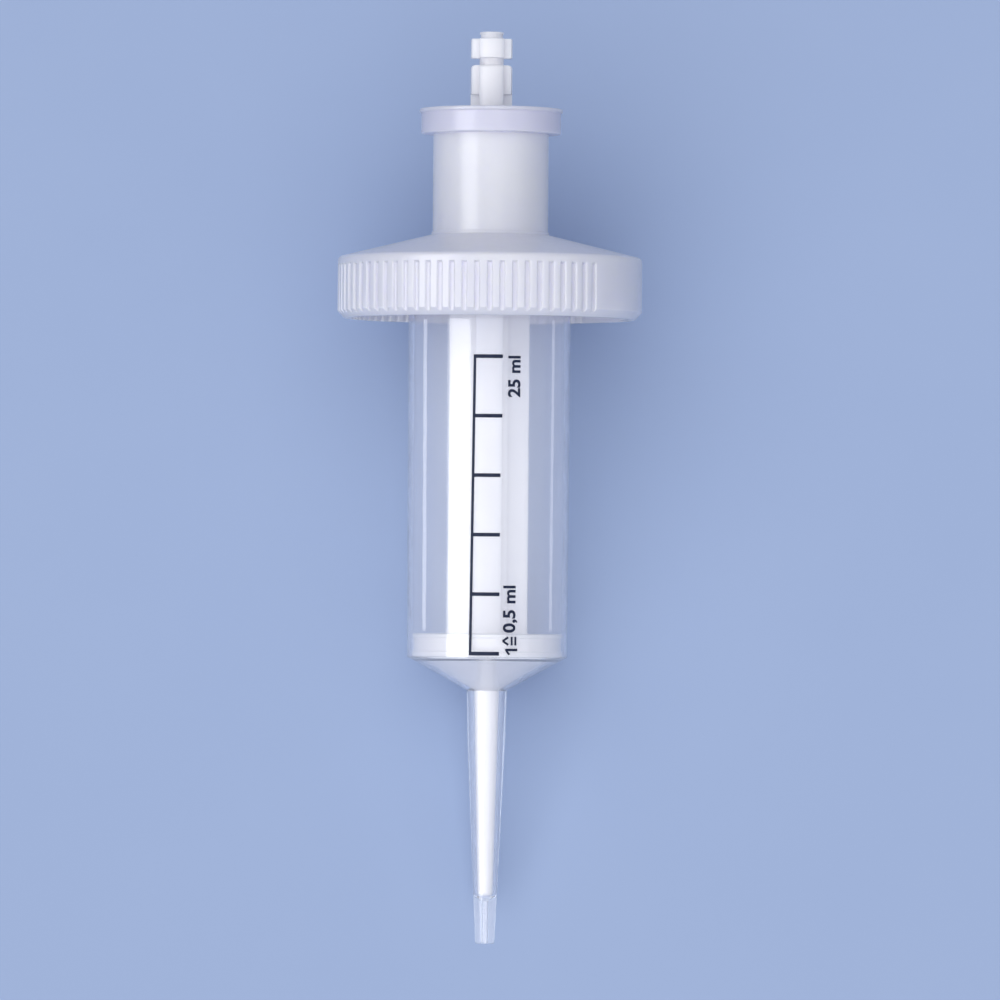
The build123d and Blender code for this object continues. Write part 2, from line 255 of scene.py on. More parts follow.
# From upright millimetres to the frame's metres: the twist joint is on the axis, at the barrel's top
TWIST = next(joint for joint in frame["joints"] if joint["name"] == "adapter_twist")
AXIS = Vector(TWIST["axis"]).normalized()
ACROSS = Vector((1, 0, 0))
BACKWARD = AXIS.cross(ACROSS)
FOOT_POINT = Vector(TWIST["pos_m"]) - AXIS * BARREL_TOP * MILLIMETRE
LAY_DOWN = Matrix.Translation(FOOT_POINT) @ Matrix((ACROSS, BACKWARD, AXIS)).transposed().to_4x4()


def upright(x, y, z):
    """World place of an upright point in millimetres."""
    return LAY_DOWN @ (Vector((x, y, z)) * MILLIMETRE)


def turned(radius, azimuth, height):
    """Upright point at a radius, an azimuth in degrees and a height."""
    return radius * sin(radians(azimuth)), -radius * cos(radians(azimuth)), height


def cone_inside(radius):
    """Height of the inner face of the barrel's cone at a radius."""
    upright_wall = CONE_WALL / cos(radians(CONE_ANGLE))
    return CONE_TOP_HEIGHT - (TUBE_RADIUS_LOW - radius) * CONE_SLOPE + upright_wall


def shoulder_inside(radius):
    """Height of the inner face of the adapter's shoulder at a radius."""
    upright_wall = SHOULDER_WALL / cos(radians(SHOULDER_ANGLE))
    return SHOULDER_TOP - (radius - FOOT_RADIUS) * SHOULDER_SLOPE - upright_wall


def tube_radius(height):
    """Outer radius of the tube at a height."""
    share = (height - CONE_TOP_HEIGHT) / (BARREL_TOP - CONE_TOP_HEIGHT)
    return TUBE_RADIUS_LOW + (TUBE_RADIUS_TOP - TUBE_RADIUS_LOW) * share


def rounded(corners, closed=True, support=0.0, arc_step=ARC_STEP):
    """Outline of (radius, height) points from (radius, height, rounding) corners.

    Each arc is cut into steps of about arc_step degrees. With a support, a point at that distance beside
    each arc keeps the long faces' shading straight.
    """
    outline = []
    count = len(corners)
    for index, (r, z, rounding) in enumerate(corners):
        corner = np.array((r, z))
        ends = not closed and index in (0, count - 1)
        if ends or not rounding:
            outline.append((r, z))
            continue
        before = np.array(corners[index - 1][:2]) - corner
        after = np.array(corners[(index + 1) % count][:2]) - corner
        room = min(np.linalg.norm(before), np.linalg.norm(after))
        before, after = before / np.linalg.norm(before), after / np.linalg.norm(after)
        opening = acos(max(-1.0, min(1.0, float(before @ after))))
        setback = min(rounding / tan(opening / 2), room * ARC_SHARE)
        radius = setback * tan(opening / 2)
        inward = (before + after) / np.linalg.norm(before + after)
        middle = corner + inward * radius / sin(opening / 2)
        start, end = corner + before * setback - middle, corner + after * setback - middle
        turn = pi - opening
        steps = max(2, int(degrees(turn) / arc_step))
        beside = setback + min(support, room * SUPPORT_SHARE)
        if support:
            outline.append(tuple(corner + before * beside))
        for step in range(steps + 1):
            share = step / steps
            arm = (sin((1 - share) * turn) * start + sin(share * turn) * end) / sin(turn)
            outline.append(tuple(middle + arm))
        if support:
            outline.append(tuple(corner + after * beside))
    return outline


def mesh_piece(name, points, faces, material, body, replaces, sharp=SHARP_ANGLE):
    """A finished piece from upright millimetre points, laid down and bound to its body."""
    mesh = bpy.data.meshes.new(name)
    mesh.from_pydata([tuple(point) for point in points], [], faces)
    mesh.transform(LAY_DOWN @ Matrix.Scale(MILLIMETRE, 4))
    mesh.validate()
    mesh.shade_smooth()
    mesh.set_sharp_from_angle(angle=radians(sharp))
    mesh.materials.append(material)
    piece = bpy.data.objects.new(name, mesh)
    bpy.context.scene.collection.objects.link(piece)
    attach(piece, body)
    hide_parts(replaces)
    return piece


def skin(rows, turns, closed):
    """Faces between rows of points that each go once round the axis."""
    faces = []
    for row in range(rows if closed else rows - 1):
        low, high = row * turns, (row + 1) % rows * turns
        for turn in range(turns):
            after = (turn + 1) % turns
            faces.append((low + turn, low + after, high + after, high + turn))
    return faces


def around(outline, azimuths, radius_at):
    """Points and faces of the closed outline carried round the axis, with radius_at for each radius."""
    points = [turned(radius_at(r, z, azimuth), azimuth, z) for r, z in outline for azimuth in azimuths]
    return points, skin(len(outline), len(azimuths), closed=True)


def even_azimuths(count):
    """Azimuths of even steps round the axis."""
    return [360 * index / count for index in range(count)]


def with_ears(r, z, azimuth):
    """Radius of the barrel's skin at an azimuth, drawn out to the two ears on the flange."""
    if r < FLANGE_RADIUS - FLANGE_EDGE or z < FLANGE_BASE - SMALL_STEP / 2:
        return r
    along = abs(cos(radians(azimuth)))
    reach = min(EAR_RADIUS, EAR_WIDTH / 2 / max(along, TINY))
    return max(r, r + reach - FLANGE_RADIUS)


def make_barrel(material):
    """The clear moulding: nozzle, cone, tube, flange and ears in one closed skin."""
    neck_radius = NOZZLE_TOP_RADIUS - NOZZLE_LEDGE
    nozzle_top = CONE_TOP_HEIGHT - (TUBE_RADIUS_LOW - neck_radius) * CONE_SLOPE
    outline = rounded(
        [
            (OUTLET_RADIUS, 0, 0.1),
            (NOZZLE_END_RADIUS, 0, 0.4),
            (NOZZLE_WAIST_RADIUS, NOZZLE_WAIST_HEIGHT, 9.0),
            (NOZZLE_TOP_RADIUS, nozzle_top, 0.06),
            (neck_radius, nozzle_top, 0.08),
            (TUBE_RADIUS_LOW, CONE_TOP_HEIGHT, 0.15),
            (tube_radius(FLANGE_BASE), FLANGE_BASE, 0.3),
            (FLANGE_RADIUS, FLANGE_BASE, 0.2),
            (FLANGE_RADIUS, BARREL_TOP, 0.2),
            (BORE_RADIUS, BARREL_TOP, 0.25),
            (BORE_RADIUS, BORE_FOOT_HEIGHT, 0.1),
            (CONE_START_RADIUS, cone_inside(CONE_START_RADIUS), 0.3),
            (NOZZLE_BORE_TOP_RADIUS, cone_inside(NOZZLE_BORE_TOP_RADIUS), 0.4),
            (NOZZLE_BORE_LOW_RADIUS, OUTLET_LENGTH + OUTLET_FUNNEL, 0.3),
            (OUTLET_RADIUS, OUTLET_LENGTH, 0.1),
        ],
        support=SUPPORT_REACH,
    )
    points, faces = around(outline, even_azimuths(TURN_STEPS), with_ears)
    barrel = mesh_piece(
        "barrel_moulding",
        points,
        faces,
        material,
        body="barrel",
        replaces="barrel",
    )
    # Light isn't focused through it here, so its shadow would only darken the piston
    barrel.visible_shadow = False
    barrel.visible_diffuse = False
    return barrel


def cross_reach(azimuth, radius, half_wing, half_core):
    """Distance from the axis to the outline of a cross in a circle: thin side wings and a wider core."""
    across, along = abs(sin(radians(azimuth))), abs(cos(radians(azimuth)))
    wing = min(radius / max(across, TINY), half_wing / max(along, TINY))
    core = min(half_core / max(across, TINY), radius / max(along, TINY))
    return min(radius, max(wing, core))


def needle_and_head_outline():
    """The round foot of the piston, from the needle's end to the top of the sealing head."""
    needle_end = OUTLET_LENGTH + OUTLET_FUNNEL + NEEDLE_GAP
    needle_radius = NOZZLE_BORE_LOW_RADIUS - NEEDLE_GAP
    needle_top = NOZZLE_BORE_TOP_RADIUS - NEEDLE_GAP
    seal = BORE_RADIUS - SEAL_GAP
    seal_foot = BORE_FOOT_HEIGHT + CONE_GAP
    between_lips = seal - SEAL_STAND
    return rounded(
        [
            (CAP_RADIUS, needle_end, 0),
            (needle_radius, needle_end, 0.6),
            (needle_top, cone_inside(needle_top) + CONE_GAP, 0.4),
            (CONE_START_RADIUS, cone_inside(CONE_START_RADIUS) + CONE_GAP, 0.2),
            (seal, seal_foot, 0.05),
            (seal, seal_foot + SEAL_HEIGHT, 0.1),
            (between_lips, seal_foot + SEAL_HEIGHT + SEAL_STAND, 0.1),
            (between_lips, HEAD_TOP - SEAL_HEIGHT, 0.1),
            (seal, HEAD_TOP - SEAL_HEIGHT + SEAL_STAND, 0.1),
            (seal, HEAD_TOP, 0.15),
            (ROD_RADIUS + HEAD_FLAT_WIDTH, HEAD_TOP, 0),
        ],
        closed=False,
        support=SUPPORT_REACH,
    )


def rod_rings():
    """The cross-shaped rod, as (height, radius limit, cross section) rings of the loft."""
    taper_top = ROD_TAPER_START + ROD_TAPER_LENGTH
    return [
        (HEAD_TOP, NO_LIMIT, ROD_FOOT),
        (HEAD_TOP + ROD_FILLET_RING_HEIGHT, NO_LIMIT, ROD_FOOT_MIDDLE),
        (HEAD_TOP + ROD_FILLET, NO_LIMIT, ROD),
        (ROD_TAPER_START, NO_LIMIT, ROD),
        (taper_top, SLIM_RADIUS, ROD),
        (taper_top + SMALL_STEP, SLIM_RADIUS, SLIM_ROD),
        (BLOCK_BASE - SMALL_STEP, NO_LIMIT, SLIM_ROD),
    ]


def coupler_rings():
    """The winged block, neck, winged head and pin; a round ring has None for its cross section."""
    neck_base = BLOCK_BASE + BLOCK_HEIGHT
    winged_base = neck_base + NECK_HEIGHT
    winged_top = winged_base + WINGED_HEAD_HEIGHT
    top = winged_top + PIN_HEIGHT
    rim_base = top - PIN_RIM
    waist = CORE_RADIUS - PIN_UNDERCUT
    bevel_radius = SLIM_RADIUS - WING_BEVEL
    block_edge = rounded(
        [
            (SLIM_RADIUS, (BLOCK_BASE + neck_base) / 2, 0),
            (SLIM_RADIUS, neck_base, BLOCK_ROUNDING),
            (CORE_RADIUS, neck_base, 0),
        ],
        closed=False,
    )
    pin_rim = rounded(
        [
            (waist, rim_base, 0),
            (CORE_RADIUS, rim_base, 0.08),
            (CORE_RADIUS, top, 0.12),
            (CAP_RADIUS, top, 0),
        ],
        closed=False,
    )
    return [
        (BLOCK_BASE, NO_LIMIT, COUPLER),
        *((z, r, COUPLER) for r, z in block_edge[1:-1]),
        (neck_base, CORE_RADIUS, None),
        (winged_base, CORE_RADIUS, None),
        (winged_base, bevel_radius, COUPLER),
        (winged_base + WING_BEVEL, NO_LIMIT, COUPLER),
        (winged_top - WING_BEVEL, NO_LIMIT, COUPLER),
        (winged_top, bevel_radius, COUPLER),
        (winged_top, waist, None),
        (rim_base, waist, None),
        *((z, r, None) for r, z in pin_rim[1:]),
    ]


def piston_azimuths():
    """Even azimuths, and one at every edge of the piston's cross sections."""
    azimuths = set(even_azimuths(TURN_STEPS))
    for radius, half_wing, half_core in (ROD, SLIM_ROD, COUPLER):
        wing_edge = degrees(asin(half_wing / radius))
        core_edge = degrees(asin(half_core / radius))
        inner = degrees(atan2(half_core, half_wing))
        for half_turn in (0, 180):
            for angle in (90 - wing_edge, 90 + wing_edge, core_edge, -core_edge, inner, -inner):
                azimuths.add((half_turn + angle) % 360)
    return sorted(azimuths)


def make_piston(material):
    """The white moulding as one loft, from the needle's end to the pin at the top."""
    rings = [(z, r, None) for r, z in needle_and_head_outline()]
    rings += rod_rings()
    rings += coupler_rings()
    azimuths = piston_azimuths()
    turns = len(azimuths)
    points = []
    for z, limit, section in rings:
        for azimuth in azimuths:
            r = min(limit, cross_reach(azimuth, *section)) if section else limit
            points.append(turned(r, azimuth, z))
    faces = skin(len(rings), turns, closed=False)
    faces.append(tuple(reversed(range(turns))))
    faces.append(tuple(range((len(rings) - 1) * turns, len(rings) * turns)))
    return mesh_piece(
        "piston_moulding",
        points,
        faces,
        material,
        body="piston",
        replaces="piston",
    )


def groove_share(azimuth):
    """How deep the knurling is at an azimuth, from 0 on a rib to 1 in a groove."""
    if abs((azimuth - PLAIN_PATCH_AZIMUTH + 180) % 360 - 180) < PLAIN_PATCH_SPAN / 2:
        return 0.0
    across = abs((azimuth * KNURL_COUNT / 360 + 0.5) % 1 - 0.5)
    share = min(1.0, max(0.0, (MOUTH_HALF - across) / (MOUTH_HALF - FLOOR_HALF)))
    return share * share * (3 - 2 * share)


def knurled(r, z, azimuth):
    """Radius of the adapter's skin at an azimuth, with the flutes under the rim and the knurled grooves."""
    if z < RIM_BASE + FLUTE_MARGIN and r < SKIRT_INSIDE + FLUTE_MARGIN:
        return r + FLUTE_DEPTH * groove_share(azimuth)
    if r < GROOVE_FLOOR_RADIUS - KNURL_MARGIN or z > GROOVE_TOP:
        return r
    fade = min(1.0, (GROOVE_TOP - z) / KNURL_FADE)
    return min(r, RIM_RADIUS - KNURL_DEPTH * fade * groove_share(azimuth))


def make_adapter(material):
    """The milky moulding: collar, neck, shoulder, knurled rim, and the bayonet's ring and hooks inside."""
    pilot_inside = PILOT_RADIUS - PILOT_WALL
    pilot_base = LAND_HEIGHT - PILOT_LENGTH
    land_radius = PILOT_RADIUS + LAND_WIDTH
    lip_radius = COLLAR_RADIUS + COLLAR_LIP_STAND
    lip_base = COLLAR_TOP - COLLAR_EDGE
    chamfer_rows = [
        (RIM_RADIUS - RIM_CHAMFER_WIDTH * (1 - share), RIM_BASE + RIM_CHAMFER_HEIGHT * share, 0)
        for share in CHAMFER_SHARES
    ]
    outline = rounded(
        [
            (RIM_RADIUS - RIM_CHAMFER_WIDTH, RIM_BASE, 0.15),
            *chamfer_rows,
            (RIM_RADIUS, RIM_EDGE_HEIGHT, 0.2),
            (RIM_RADIUS, RIM_EDGE_HEIGHT + RIM_SIDE_ROW, 0),
            (RIM_RADIUS, GROOVE_TOP - KNURL_FADE, 0),
            (RIM_RADIUS, GROOVE_TOP - KNURL_FADE / 2, 0),
            (RIM_RADIUS, GROOVE_TOP, 0),
            (RIM_RADIUS, RIM_CORNER_HEIGHT, 1.4),
            (FOOT_RADIUS, SHOULDER_TOP, 0.1),
            (FOOT_RADIUS, SHOULDER_TOP + FOOT_HEIGHT, 0.1),
            (ADAPTER_NECK_RADIUS, SHOULDER_TOP + FOOT_HEIGHT, 0.05),
            (ADAPTER_NECK_RADIUS, COLLAR_BASE, 0.2),
            (COLLAR_RADIUS, COLLAR_BASE, 0.25),
            (COLLAR_RADIUS, lip_base - COLLAR_LIP_HEIGHT, 0.2),
            (lip_radius, lip_base - COLLAR_LIP_STAND, 0.05),
            (lip_radius, COLLAR_TOP, 0.22),
            (PASSAGE_RADIUS, COLLAR_TOP, 0.5),
            (PASSAGE_RADIUS, shoulder_inside(PASSAGE_RADIUS), 0.5),
            (pilot_inside, shoulder_inside(pilot_inside), 0.4),
            (pilot_inside, pilot_base, 0.2),
            (PILOT_RADIUS, pilot_base, 0.25),
            (PILOT_RADIUS, LAND_HEIGHT, 0.1),
            (land_radius, LAND_HEIGHT, 0.15),
            (land_radius, shoulder_inside(land_radius), 0.3),
            (SKIRT_INSIDE, shoulder_inside(SKIRT_INSIDE), 0.8),
            (SKIRT_INSIDE, RIM_BASE + FLUTE_HEIGHT, 0),
            (SKIRT_INSIDE, RIM_BASE, 0.1),
        ],
        arc_step=WIDE_ARC_STEP,
    )
    pitch = 360 / KNURL_COUNT
    azimuths = [(index + share) * pitch for index in range(KNURL_COUNT) for share in PITCH_SHARES]
    points, faces = around(outline, azimuths, knurled)
    for turn in (90, 270):
        add_hook(points, faces, turn)
    return mesh_piece(
        "adapter_moulding",
        points,
        faces,
        material,
        body="adapter",
        replaces="adapter",
    )


def add_hook(points, faces, turn):
    """One bayonet hook: a wall under the shoulder, a ledge below the barrel's ear and a stop at one end."""
    wall = HOOK_ROOM_RADIUS + HOOK_WALL
    root = shoulder_inside(wall) + SHOULDER_WALL / 2
    ledge_base = HOOK_LEDGE_TOP - HOOK_LEDGE_THICKNESS
    hook = [
        (HOOK_INSIDE, ledge_base),
        (wall, ledge_base),
        (wall, root),
        (HOOK_ROOM_RADIUS, root),
        (HOOK_ROOM_RADIUS, HOOK_LEDGE_TOP),
        (HOOK_INSIDE, HOOK_LEDGE_TOP),
    ]
    inner, outer = HOOK_INSIDE + HOOK_STOP_INSET, wall - HOOK_STOP_INSET
    stop_base = ledge_base + HOOK_STOP_INSET
    inner_root = shoulder_inside(inner) + SHOULDER_WALL / 2
    stop = [(inner, stop_base), (outer, stop_base), (outer, root - HOOK_STOP_INSET), (inner, inner_root)]
    stop_end = HOOK_HALF_SPAN - HOOK_STOP_INSET
    add_bent_bar(points, faces, hook, turn - HOOK_HALF_SPAN, turn + HOOK_HALF_SPAN)
    add_bent_bar(points, faces, stop, turn + stop_end - HOOK_STOP_SPAN, turn + stop_end)


def add_bent_bar(points, faces, section, first, last):
    """A closed bar whose (radius, height) section is carried round the axis between two azimuths."""
    steps = max(2, int((last - first) / HOOK_STEP))
    base = len(points)
    count = len(section)
    for step in range(steps + 1):
        azimuth = first + (last - first) * step / steps
        points.extend(turned(r, azimuth, z) for r, z in section)
    for step in range(steps):
        low, high = base + step * count, base + (step + 1) * count
        for index in range(count):
            after = (index + 1) % count
            faces.append((low + index, high + index, high + after, low + after))
    faces.append(tuple(base + index for index in range(count)))
    faces.append(tuple(base + steps * count + index for index in reversed(range(count))))


def on_tube(azimuth, height, stand):
    """Upright point over the tube's surface."""
    return turned(tube_radius(height) + stand, azimuth, height)


def add_patch(points, faces, corners):
    """A thin slab of ink over the tube between four (azimuth, height) corners, counterclockwise."""
    low_left, low_right, top_right, top_left = corners
    base = len(points)
    for step in range(INK_STEPS + 1):
        share = step / INK_STEPS
        for start, end in ((low_left, low_right), (top_left, top_right)):
            azimuth = start[0] + (end[0] - start[0]) * share
            height = start[1] + (end[1] - start[1]) * share
            points.append(on_tube(azimuth, height, INK_FOOT))
            points.append(on_tube(azimuth, height, INK_TOP))
    for step in range(INK_STEPS):
        here, ahead = base + 4 * step, base + 4 * (step + 1)
        faces.append((here + 1, ahead + 1, ahead + 3, here + 3))
        faces.append((here, here + 2, ahead + 2, ahead))
        faces.append((here, ahead, ahead + 1, here + 1))
        faces.append((here + 2, here + 3, ahead + 3, ahead + 2))
    end = base + 4 * INK_STEPS
    faces.append((base, base + 1, base + 3, base + 2))
    faces.append((end, end + 2, end + 3, end + 1))


def add_text(points, faces, text, foot_azimuth, base_height, length):
    """Generic scale lettering that reads upwards, its letters' tops to the left."""
    curve = bpy.data.curves.new("lettering", "FONT")
    curve.body = text
    curve.size = LETTER_SIZE
    curve.offset = LETTER_SIZE * LETTER_BOLDNESS
    curve.extrude = INK_TOP / 2
    curve.resolution_u = 4
    holder = bpy.data.objects.new("lettering", curve)
    mesh = bpy.data.meshes.new_from_object(holder)
    spots = np.array([vertex.co[:] for vertex in mesh.vertices])
    low, high = spots.min(axis=0), spots.max(axis=0)
    stretch = length / (high[0] - low[0])
    base = len(points)
    for x, y, z in spots:
        height = base_height + (x - low[0]) * stretch
        across = (y - low[1]) / tube_radius(height)
        points.append(on_tube(foot_azimuth - degrees(across), height, INK_FOOT + INK_TOP / 2 + z))
    faces.extend(tuple(base + index for index in polygon.vertices) for polygon in mesh.polygons)
    bpy.data.objects.remove(holder)
    bpy.data.curves.remove(curve)
    bpy.data.meshes.remove(mesh)


def add_bar(points, faces, start, end, stroke):
    """A straight bar of ink in the lower line of lettering, between two (height, rise) points."""
    start, end = Vector(start), Vector(end)
    run = (end - start).normalized()
    aside = Vector((-run.y, run.x)) * stroke / 2
    corners = [start - aside, end - aside, end + aside, start + aside]
    turn_of_rise = degrees(1 / TUBE_RADIUS_LOW)
    patch = [(LOW_WORDS_AZIMUTH - rise * turn_of_rise, height) for height, rise in corners]
    add_patch(points, faces, patch)


def add_figure_one(points, faces):
    """The figure 1: its stem and its flag."""
    stem_foot, stem_top = (ONE_HEIGHT, 0), (ONE_HEIGHT, 2.1)
    flag_top, flag_foot = (ONE_HEIGHT - 0.15, 1.9), (ONE_HEIGHT - 0.8, 1.4)
    add_bar(points, faces, stem_foot, stem_top, ONE_STROKE)
    add_bar(points, faces, flag_top, flag_foot, SLANTED_STROKE)


def add_stands_for_sign(points, faces):
    """Two bars under a caret: one step stands for the volume that follows."""
    middle, top = SIGN_HEIGHT + SIGN_LENGTH / 2, SIGN_HEIGHT + SIGN_LENGTH
    low_bar, high_bar = 0.35, 1.0
    caret_foot, caret_top, caret_inset = 1.6, 2.55, 0.1
    for rise in (low_bar, high_bar):
        add_bar(points, faces, (SIGN_HEIGHT, rise), (top, rise), SIGN_STROKE)
    add_bar(points, faces, (SIGN_HEIGHT + caret_inset, caret_foot), (middle, caret_top), SLANTED_STROKE)
    add_bar(points, faces, (middle, caret_top), (top - caret_inset, caret_foot), SLANTED_STROKE)


def make_print(material):
    """The printed scale: an upright line, six ticks and plain volume figures."""
    points, faces = [], []
    half_line = degrees(SPINE_WIDTH / 2 / TUBE_RADIUS_LOW)
    half_tick = TICK_WIDTH / 2
    low_edge = SCALE_ZERO_HEIGHT - half_tick
    top_edge = SCALE_ZERO_HEIGHT + SCALE_STEP * SCALE_STEPS + half_tick
    spine = [
        (SPINE_AZIMUTH_LOW - half_line, low_edge),
        (SPINE_AZIMUTH_LOW + half_line, low_edge),
        (SPINE_AZIMUTH_TOP + half_line, top_edge),
        (SPINE_AZIMUTH_TOP - half_line, top_edge),
    ]
    add_patch(points, faces, spine)
    for step in range(SCALE_STEPS + 1):
        height = SCALE_ZERO_HEIGHT + step * SCALE_STEP
        middle = SPINE_AZIMUTH_LOW + (SPINE_AZIMUTH_TOP - SPINE_AZIMUTH_LOW) * step / SCALE_STEPS
        start = middle + half_line * TICK_OVERLAP
        end = TICK_END_TOP if step >= SCALE_STEPS - 1 else TICK_END_LOW
        low, high = height - half_tick, height + half_tick
        add_patch(points, faces, [(start, low), (end, low), (end, high), (start, high)])
    add_text(points, faces, "25 ml", TOP_WORDS_AZIMUTH, TOP_WORDS_HEIGHT, TOP_WORDS_LENGTH)
    add_figure_one(points, faces)
    add_stands_for_sign(points, faces)
    add_text(points, faces, "0,5 ml", LOW_WORDS_AZIMUTH, LOW_WORDS_HEIGHT, LOW_WORDS_LENGTH)
    return mesh_piece(
        "scale_ink",
        points,
        faces,
        material,
        body="barrel",
        replaces="scale_print",
        sharp=INK_SHARP_ANGLE,
    )


def new_material(name, **sockets):
    """A Principled material with some of its sockets set; returns the material and its shader."""
    material = bpy.data.materials.new(name)
    material.use_nodes = True
    shader = material.node_tree.nodes["Principled BSDF"]
    for socket, value in sockets.items():
        shader.inputs[socket.replace("_", " ")].default_value = value
    return material, shader


def add_noise(material, scale, detail, stretch=(1, 1, 1)):
    """A noise texture in the object's own space, stretched along the tip's axis if asked."""
    nodes, links = material.node_tree.nodes, material.node_tree.links
    place = nodes.new("ShaderNodeTexCoord")
    mapping = nodes.new("ShaderNodeMapping")
    mapping.inputs["Rotation"].default_value = (-atan2(AXIS.z, AXIS.y), 0, 0)
    mapping.inputs["Scale"].default_value = stretch
    noise = nodes.new("ShaderNodeTexNoise")
    noise.inputs["Scale"].default_value = scale
    noise.inputs["Detail"].default_value = detail
    links.new(place.outputs["Object"], mapping.inputs["Vector"])
    links.new(mapping.outputs["Vector"], noise.inputs["Vector"])
    return noise


def ramp(material, source, low, high):
    """A colour between two colours, driven by a noise; returns the colour's output."""
    node = material.node_tree.nodes.new("ShaderNodeValToRGB")
    node.color_ramp.elements[0].position = NOISE_LOW
    node.color_ramp.elements[1].position = NOISE_HIGH
    node.color_ramp.elements[0].color = (*low, 1)
    node.color_ramp.elements[1].color = (*high, 1)
    material.node_tree.links.new(source.outputs["Fac"], node.inputs["Fac"])
    return node.outputs["Color"]


def paint(material, shader, colour):
    """Give a colour's output to the shader."""
    material.node_tree.links.new(colour, shader.inputs["Base Color"])


def vary_roughness(material, shader, source, low, high):
    """Let a noise move the roughness between two values."""
    node = material.node_tree.nodes.new("ShaderNodeMapRange")
    node.inputs["From Min"].default_value = NOISE_LOW
    node.inputs["From Max"].default_value = NOISE_HIGH
    node.inputs["To Min"].default_value = low
    node.inputs["To Max"].default_value = high
    material.node_tree.links.new(source.outputs["Fac"], node.inputs["Value"])
    material.node_tree.links.new(node.outputs["Result"], shader.inputs["Roughness"])


def add_bump(material, shader, source, strength, distance):
    """Let a noise raise the surface a little."""
    node = material.node_tree.nodes.new("ShaderNodeBump")
    node.inputs["Strength"].default_value = strength
    node.inputs["Distance"].default_value = distance
    material.node_tree.links.new(source.outputs["Fac"], node.inputs["Height"])
    material.node_tree.links.new(node.outputs["Normal"], shader.inputs["Normal"])


def paint_shade_above(material, colour, height, shade_tint):
    """Multiply a colour by a shade tint above a height on the tip, as painted shade; returns the new
    colour's output.
    """
    nodes, links = material.node_tree.nodes, material.node_tree.links
    place = nodes.new("ShaderNodeTexCoord")
    along = nodes.new("ShaderNodeVectorMath")
    along.operation = "DOT_PRODUCT"
    along.inputs[1].default_value = AXIS
    step = nodes.new("ShaderNodeMapRange")
    start = FOOT_POINT.dot(AXIS) + height * MILLIMETRE
    half_width = 0.2 * MILLIMETRE
    step.inputs["From Min"].default_value = start - half_width
    step.inputs["From Max"].default_value = start + half_width
    mix = nodes.new("ShaderNodeMixRGB")
    mix.blend_type = "MULTIPLY"
    mix.inputs["Color2"].default_value = (*shade_tint, 1)
    links.new(place.outputs["Object"], along.inputs[0])
    links.new(along.outputs["Value"], step.inputs["Value"])
    links.new(step.outputs["Result"], mix.inputs["Fac"])
    links.new(colour, mix.inputs["Color1"])
    return mix.outputs["Color"]


def clear_plastic():
    """Natural polypropylene: clear with a faint milky veil and long soft flow lines."""
    material, shader = new_material("clear_polypropylene", IOR=1.49, Transmission_Weight=0.87)
    flow = add_noise(material, scale=260, detail=2, stretch=(1, 0.12, 1))
    paint(material, shader, ramp(material, flow, low=(0.945, 0.945, 0.975), high=(0.975, 0.975, 0.995)))
    vary_roughness(material, shader, flow, low=0.05, high=0.09)
    add_bump(material, shader, flow, strength=0.06, distance=0.0004)
    return material


def milky_plastic():
    """Thick natural polypropylene: light sinks in and blurs, with a satin surface and painted shade that
    darkens the collar.
    """
    material, shader = new_material(
        "milky_polypropylene",
        IOR=1.49,
        Transmission_Weight=0.18,
        Subsurface_Weight=1.0,
        Subsurface_Radius=(1.0, 1.0, 1.1),
        Subsurface_Scale=0.0014,
    )
    cloud = add_noise(material, scale=160, detail=3)
    tone = ramp(material, cloud, low=(0.865, 0.855, 0.98), high=(0.89, 0.88, 0.99))
    # Painted shade: the collar's colour is multiplied darker above the collar's base
    paint(material, shader, paint_shade_above(material, tone, COLLAR_BASE, shade_tint=(0.88, 0.88, 0.88)))
    grain = add_noise(material, scale=800, detail=1)
    vary_roughness(material, shader, grain, low=0.2, high=0.26)
    add_bump(material, shader, grain, strength=0.04, distance=0.0001)
    return material


def white_plastic():
    """Opaque white polyethylene with a fine satin grain."""
    material, shader = new_material(
        "white_polyethylene",
        IOR=1.51,
        Subsurface_Weight=0.7,
        Subsurface_Radius=(1, 0.97, 0.97),
        Subsurface_Scale=0.002,
    )
    cloud = add_noise(material, scale=210, detail=3)
    paint(material, shader, ramp(material, cloud, low=(0.87, 0.855, 0.875), high=(0.90, 0.885, 0.90)))
    grain = add_noise(material, scale=900, detail=1)
    vary_roughness(material, shader, grain, low=0.36, high=0.5)
    add_bump(material, shader, grain, strength=0.05, distance=0.0001)
    return material


def printing_ink():
    """Near-black blue ink, a little uneven where it is thin."""
    material, shader = new_material("ink", IOR=1.5, Specular_IOR_Level=0.15)
    patchy = add_noise(material, scale=1500, detail=4)
    paint(material, shader, ramp(material, patchy, low=(0.006, 0.010, 0.030), high=(0.020, 0.028, 0.060)))
    vary_roughness(material, shader, patchy, low=0.35, high=0.55)
    return material


def floor_paint():
    """Plain pale blue studio floor."""
    material, shader = new_material("floor", Roughness=0.9, Specular_IOR_Level=0.1)
    cloud = add_noise(material, scale=30, detail=3)
    paint(material, shader, ramp(material, cloud, low=(0.368, 0.462, 0.672), high=(0.376, 0.470, 0.679)))
    return material


def make_floor():
    """A plain square of floor, far wider than the picture."""
    near, far = -FLOOR_REACH, FLOOR_REACH
    corners = [(near, near, 0), (far, near, 0), (far, far, 0), (near, far, 0)]
    mesh = bpy.data.meshes.new("floor")
    mesh.from_pydata(corners, [], [(0, 1, 2, 3)])
    mesh.materials.append(floor_paint())
    floor = bpy.data.objects.new("floor", mesh)
    bpy.context.scene.collection.objects.link(floor)


